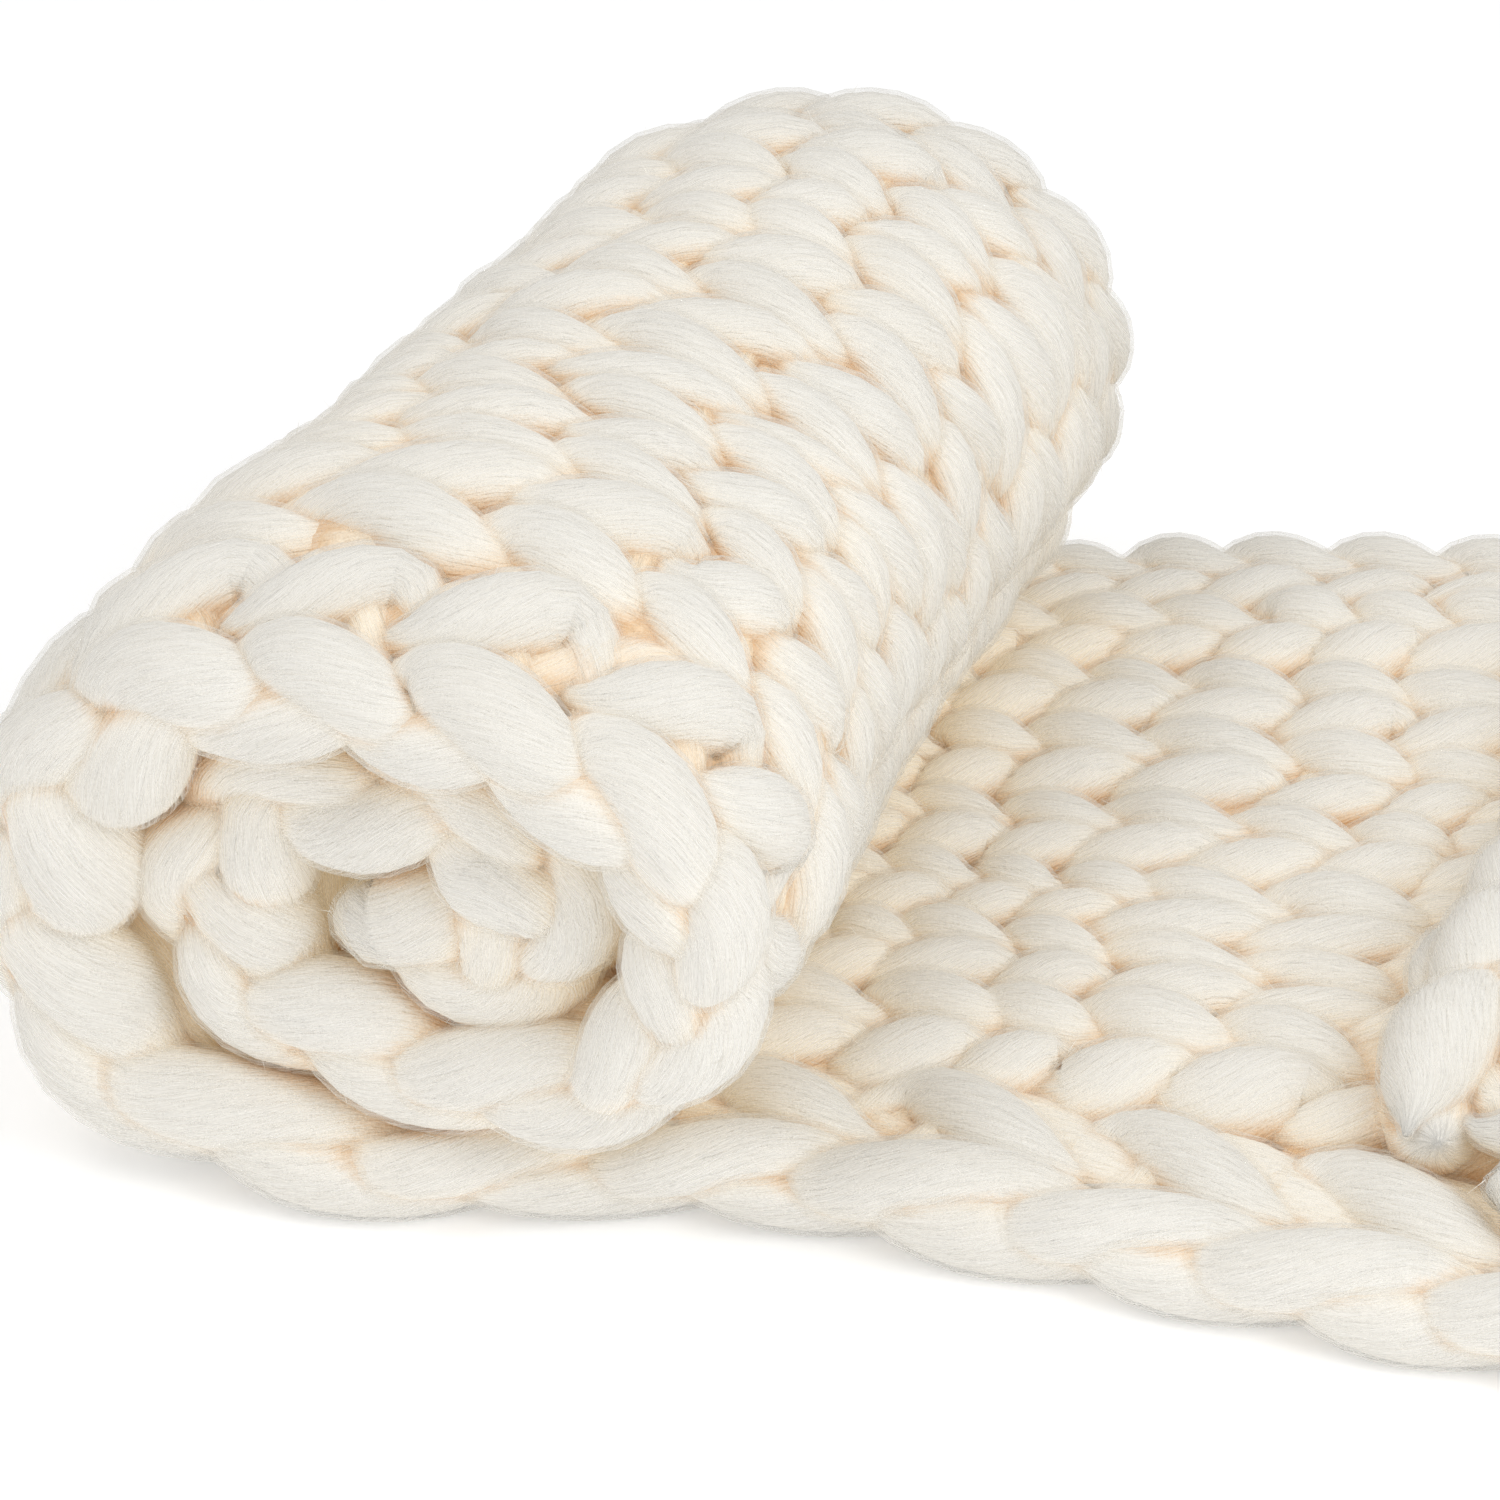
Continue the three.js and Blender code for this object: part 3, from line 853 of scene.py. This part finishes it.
class Finish:
    """A material under construction."""

    def __init__(self, name):
        self.material = bpy.data.materials.new(name)
        self.material.use_nodes = True
        self.tree = self.material.node_tree
        self.tree.nodes.clear()

    def node(self, kind, settings=None, values=None, output=0):
        """Adds a node of any type, with its settings and then its input values or links."""
        node = self.tree.nodes.new(kind)
        for key, value in (settings or {}).items():
            setattr(node, key, value)
        for key, value in (values or {}).items():
            join(self.tree, node.inputs[key], value)
        return Wire(self.tree, node.outputs[output])

    def mix(self, factor, first, second):
        """Blends two colours."""
        return self.node("ShaderNodeMix", {"data_type": "RGBA"},
                         {"Factor": factor, 6: first, 7: second}, output=2)

    def ramp(self, value, start, end, kind="LINEAR"):
        """0 where the value is below start, 1 where it is above end."""
        return self.node("ShaderNodeMapRange", {"interpolation_type": kind},
                         {"Value": value, "From Min": start, "From Max": end})

    def attribute(self, name):
        """A number that each point of a piece was given."""
        return self.node("ShaderNodeAttribute", {"attribute_name": name}, output="Fac")

    def on_the_yarn(self, twist):
        """The length along the yarn in metres, and the angle round it, wound by its twist."""
        uv = self.node("ShaderNodeUVMap", {"uv_map": "yarn"})
        along = self.node("ShaderNodeSeparateXYZ", values={0: uv}, output="X")
        return along, along.output("Y") * TAU + along * twist

    def streaks(self, along, angle, tone, around, lengthways):
        """Noise on a cylinder of radius `around`, drawn out by `lengthways` for each metre of
        yarn: the larger a number, the finer the noise is that way. The tone shifts it along."""
        place = self.node("ShaderNodeCombineXYZ", values={
            "X": angle.cosine() * around,
            "Y": angle.sine() * around,
            "Z": along * lengthways + tone * 9.0,
        })
        return self.node("ShaderNodeTexNoise", values={"Vector": place, "Scale": 1.0, "Detail": 0.0})

    def speckle(self, scale, detail):
        """Noise in the room, and not along the yarn."""
        place = self.node("ShaderNodeTexCoord", output="Object")
        return self.node("ShaderNodeTexNoise", values={"Vector": place, "Scale": scale, "Detail": detail})

    def show(self, surface):
        """Puts a shader on the material's output, and gives the material."""
        output = self.tree.nodes.new("ShaderNodeOutputMaterial")
        join(self.tree, output.inputs["Surface"], surface)
        return self.material


# %% The yarn's material
PALE, WARM = (0.90, 0.878, 0.828, 1), (0.858, 0.815, 0.737, 1)   # the wool in the open
# Painted shade: warmer, darker colours for the yarn in its nooks, where little light falls.
PAINTED_SHADE_WIDE, PAINTED_SHADE_CLOSE = (0.965, 0.85, 0.66, 1), (0.78, 0.52, 0.30, 1)     # the wool in its nooks
# Painted light: a weak warm glow in the nooks, dimmer in the closest ones; black is no glow.
BLACK, PAINTED_GLOW, PAINTED_GLOW_DEEP = (0.0, 0.0, 0.0, 1), (0.90, 0.75, 0.52, 1), (0.10, 0.04, 0.0, 1)
PAINTED_GLOW_STRENGTH = 0.11
PAINTED_GLOW_FROM, PAINTED_GLOW_TO = 0.25, 0.80   # how shut in the glow starts, and is full
YARN_TWIST = 14.0                 # of the fibres round the yarn, radians a metre


def wool():
    """Cream roving: streaks along the yarn make it paler or warmer, and uneven to the light."""
    finish = Finish("cream_roving")
    along, angle = finish.on_the_yarn(YARN_TWIST)
    tone = finish.attribute("tone")
    shut_in = finish.attribute("shelter")
    nook = finish.attribute("nook")
    hair = finish.streaks(along, angle, tone, 19.0, 60.0)
    fine = finish.streaks(along, angle, tone, 9.0, 26.0)
    coarse = finish.streaks(along, angle, tone, 2.6, 9.0)
    fluff = finish.speckle(900.0, 0.0)

    shade = tone * 0.4 + coarse * 0.3 + fine * 0.3 + hair * 0.5 + fluff * 0.35 - 0.645
    # Painted shade: the colour goes warmer and darker where the feelers found the yarn shut in.
    painted_shade_wide_mask = finish.ramp(nook, 0.42, 0.95, "SMOOTHSTEP")
    painted_shade_close_mask = finish.ramp(shut_in + fine * 0.12 + fluff * 0.15, 0.35, 0.85, "SMOOTHSTEP")
    colour = finish.mix(shade, PALE, WARM)
    colour = finish.mix(painted_shade_wide_mask, colour, PAINTED_SHADE_WIDE)
    colour = finish.mix(painted_shade_close_mask, colour, PAINTED_SHADE_CLOSE)

    # Painted light: the yarn glows a little where it is shut in, as if lit by light scattered through the
    # wool.
    painted_glow = finish.mix(finish.ramp(nook, PAINTED_GLOW_FROM, PAINTED_GLOW_TO, "SMOOTHSTEP"), BLACK, PAINTED_GLOW)
    painted_glow = finish.mix(painted_shade_close_mask, painted_glow, PAINTED_GLOW_DEEP)
    relief = hair * 0.6 + fine * 0.45 + fluff * 0.35
    bump = finish.node("ShaderNodeBump", values={"Height": relief, "Strength": 0.9, "Distance": 0.0014})
    return finish.show(finish.node("ShaderNodeBsdfPrincipled", values={
        "Base Color": colour, "Normal": bump, "Roughness": 0.95, "Specular IOR Level": 0.15,
        "Sheen Weight": 0.3, "Sheen Roughness": 0.5, "Sheen Tint": (1.0, 0.97, 0.92, 1),
        "Emission Color": painted_glow, "Emission Strength": PAINTED_GLOW_STRENGTH,
    }))


# %% The fibres' materials
SINGLE_PALE, SINGLE_WARM = (0.92, 0.897, 0.843, 1), (0.88, 0.838, 0.757, 1)
SKIN_PALE, SKIN_WARM = (0.918, 0.903, 0.864, 1), (0.898, 0.875, 0.822, 1)
# Painted shade: the skin's warmer colour where it is shut in.
SKIN_PAINTED_SHADE = (0.90, 0.71, 0.46, 1)
SKIN_TWIST = 22.0   # radians a metre


def single_fibre():
    """Single fibres: the same cream, in patches, without streaks."""
    finish = Finish("cream_fibre")
    colour = finish.mix(finish.speckle(60.0, 2.0), SINGLE_PALE, SINGLE_WARM)
    return finish.show(finish.node("ShaderNodeBsdfPrincipled", values={
        "Base Color": colour, "Roughness": 0.9, "Specular IOR Level": 0.2, "Sheen Weight": 0.2,
    }))


def short_fibre():
    """Short fibres in a thin skin: fine streaks wound slowly round the yarn, and clear between
    them. Down in the nooks it takes painted warm shade and the yarn's painted glow, and is worn thin."""
    finish = Finish("short_fibre")
    along, angle = finish.on_the_yarn(SKIN_TWIST)
    tone = finish.attribute("tone")
    shut_in = finish.attribute("shelter")
    streak = finish.streaks(along, angle, tone, 30.0, 110.0)
    cover = finish.ramp(streak - shut_in * 0.45, 0.05, 1.45)
    colour = finish.mix(tone, SKIN_PALE, SKIN_WARM)
    # Painted shade by the shelter value, and the yarn's painted glow by the nook value.
    colour = finish.mix(finish.ramp(shut_in, 0.30, 0.85), colour, SKIN_PAINTED_SHADE)
    painted_glow = finish.mix(finish.ramp(finish.attribute("nook"), PAINTED_GLOW_FROM, PAINTED_GLOW_TO), BLACK, PAINTED_GLOW)
    return finish.show(finish.node("ShaderNodeBsdfPrincipled", values={
        "Base Color": colour, "Alpha": cover, "Roughness": 0.95, "Specular IOR Level": 0.1,
        "Emission Color": painted_glow, "Emission Strength": PAINTED_GLOW_STRENGTH,
    }))


for group, material in ((pieces, wool()), (fuzz, single_fibre()), (mist, short_fibre())):
    for piece in group:
        piece.data.materials.append(material)
    print(material.name, "is on", len(group), "pieces")

# %% [markdown]
# ## On the frame
#
# Nothing on a throw moves by itself, so every piece lies still with the solid. The strands stand
# for the solid together. They are soft, and only part of their bulk is wool. The fibres lie on
# them and stand for nothing of the solid.

# %% State the pieces
for piece in pieces + fuzz + mist:
    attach(piece, "root")
for piece in pieces:
    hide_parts("blanket")
print(len(pieces), "pieces stand for the solid, and", len(fuzz + mist), "carry its fibre")

# %% [markdown]
# ## Floor, light and camera
#
# A plain white studio: a pale floor, a bright room all round, and three soft lamps. The strongest
# is at the right, a weaker one is high on the left, and a faint one is low in front. One sun would
# make harder shadows than so thick and pale a cloth should have. The camera stands to the right
# of the roll's open end and looks down at it.

# %% Studio
FLOOR_SIZE, FLOOR_GLOW, ROOM_LIGHT = 8, 0.20, 0.66


def point_at(thing, place, target):
    """Stands a lamp or camera at a place, looking at a target, level with the floor."""
    back = np.array(place, float) - np.array(target, float)
    turn = math.atan2(back[0], -back[1])
    tip = math.atan2(math.hypot(back[0], back[1]), back[2])
    thing.location = place
    thing.rotation_euler = (tip, 0, turn)


def lamp(name, place, target, size, power, colour=(1, 1, 1)):
    """A round, soft lamp."""
    data = bpy.data.lights.new(name, "AREA")
    data.shape = "DISK"
    data.size = size
    data.energy = power
    data.color = colour
    light = bpy.data.objects.new(name, data)
    bpy.context.scene.collection.objects.link(light)
    point_at(light, place, target)
    print("the", name, "lamp has", power, "W")


bpy.ops.mesh.primitive_plane_add(size=FLOOR_SIZE)
floor = bpy.context.object
floor.name = "floor"
floor_finish = Finish("studio_floor")
floor.data.materials.append(floor_finish.show(floor_finish.node("ShaderNodeBsdfPrincipled", values={
    "Base Color": (0.97, 0.97, 0.97, 1), "Roughness": 0.9,
    "Emission Color": (1, 1, 1, 1), "Emission Strength": FLOOR_GLOW,
})))

world = bpy.data.worlds.new("studio")
bpy.context.scene.world = world
world.use_nodes = True
room = world.node_tree.nodes["Background"]
room.inputs["Color"].default_value = (1.0, 1.0, 1.0, 1)
room.inputs["Strength"].default_value = ROOM_LIGHT
bpy.context.scene.view_settings.view_transform = "Standard"

lamp("left", (-1.3, -1.0, 2.6), (-0.1, 0.0, 0.1), 1.4, 12)
lamp("right", (1.9, -0.7, 2.0), (0.05, 0.0, 0.1), 2.0, 26, (0.97, 0.99, 1.0))
lamp("front", (0.5, -2.7, 1.0), (-0.1, -0.2, 0.15), 1.4, 5)

# %% Camera
AZIMUTH, ELEVATION, DISTANCE = math.radians(21), math.radians(29.5), 2.9
LOOK_AT = (np.array([39.3, 0.0, 90.9]) + SHIFT) / 1000
SENSOR = 36                       # mm
FOCAL, FRAME_WIDTH = 6000, 1500   # pixels

back = np.array([
    math.sin(AZIMUTH) * math.cos(ELEVATION),
    -math.cos(AZIMUTH) * math.cos(ELEVATION),
    math.sin(ELEVATION),
])
camera_data = bpy.data.cameras.new("camera")
camera_data.sensor_width = SENSOR
camera_data.lens = SENSOR * FOCAL / FRAME_WIDTH
camera_data.clip_end = 20
camera = bpy.data.objects.new("camera", camera_data)
bpy.context.scene.collection.objects.link(camera)
point_at(camera, tuple(LOOK_AT + back * DISTANCE), tuple(LOOK_AT))
bpy.context.scene.camera = camera
print("the camera's lens is", round(camera_data.lens), "mm, and it stands", DISTANCE, "m away")
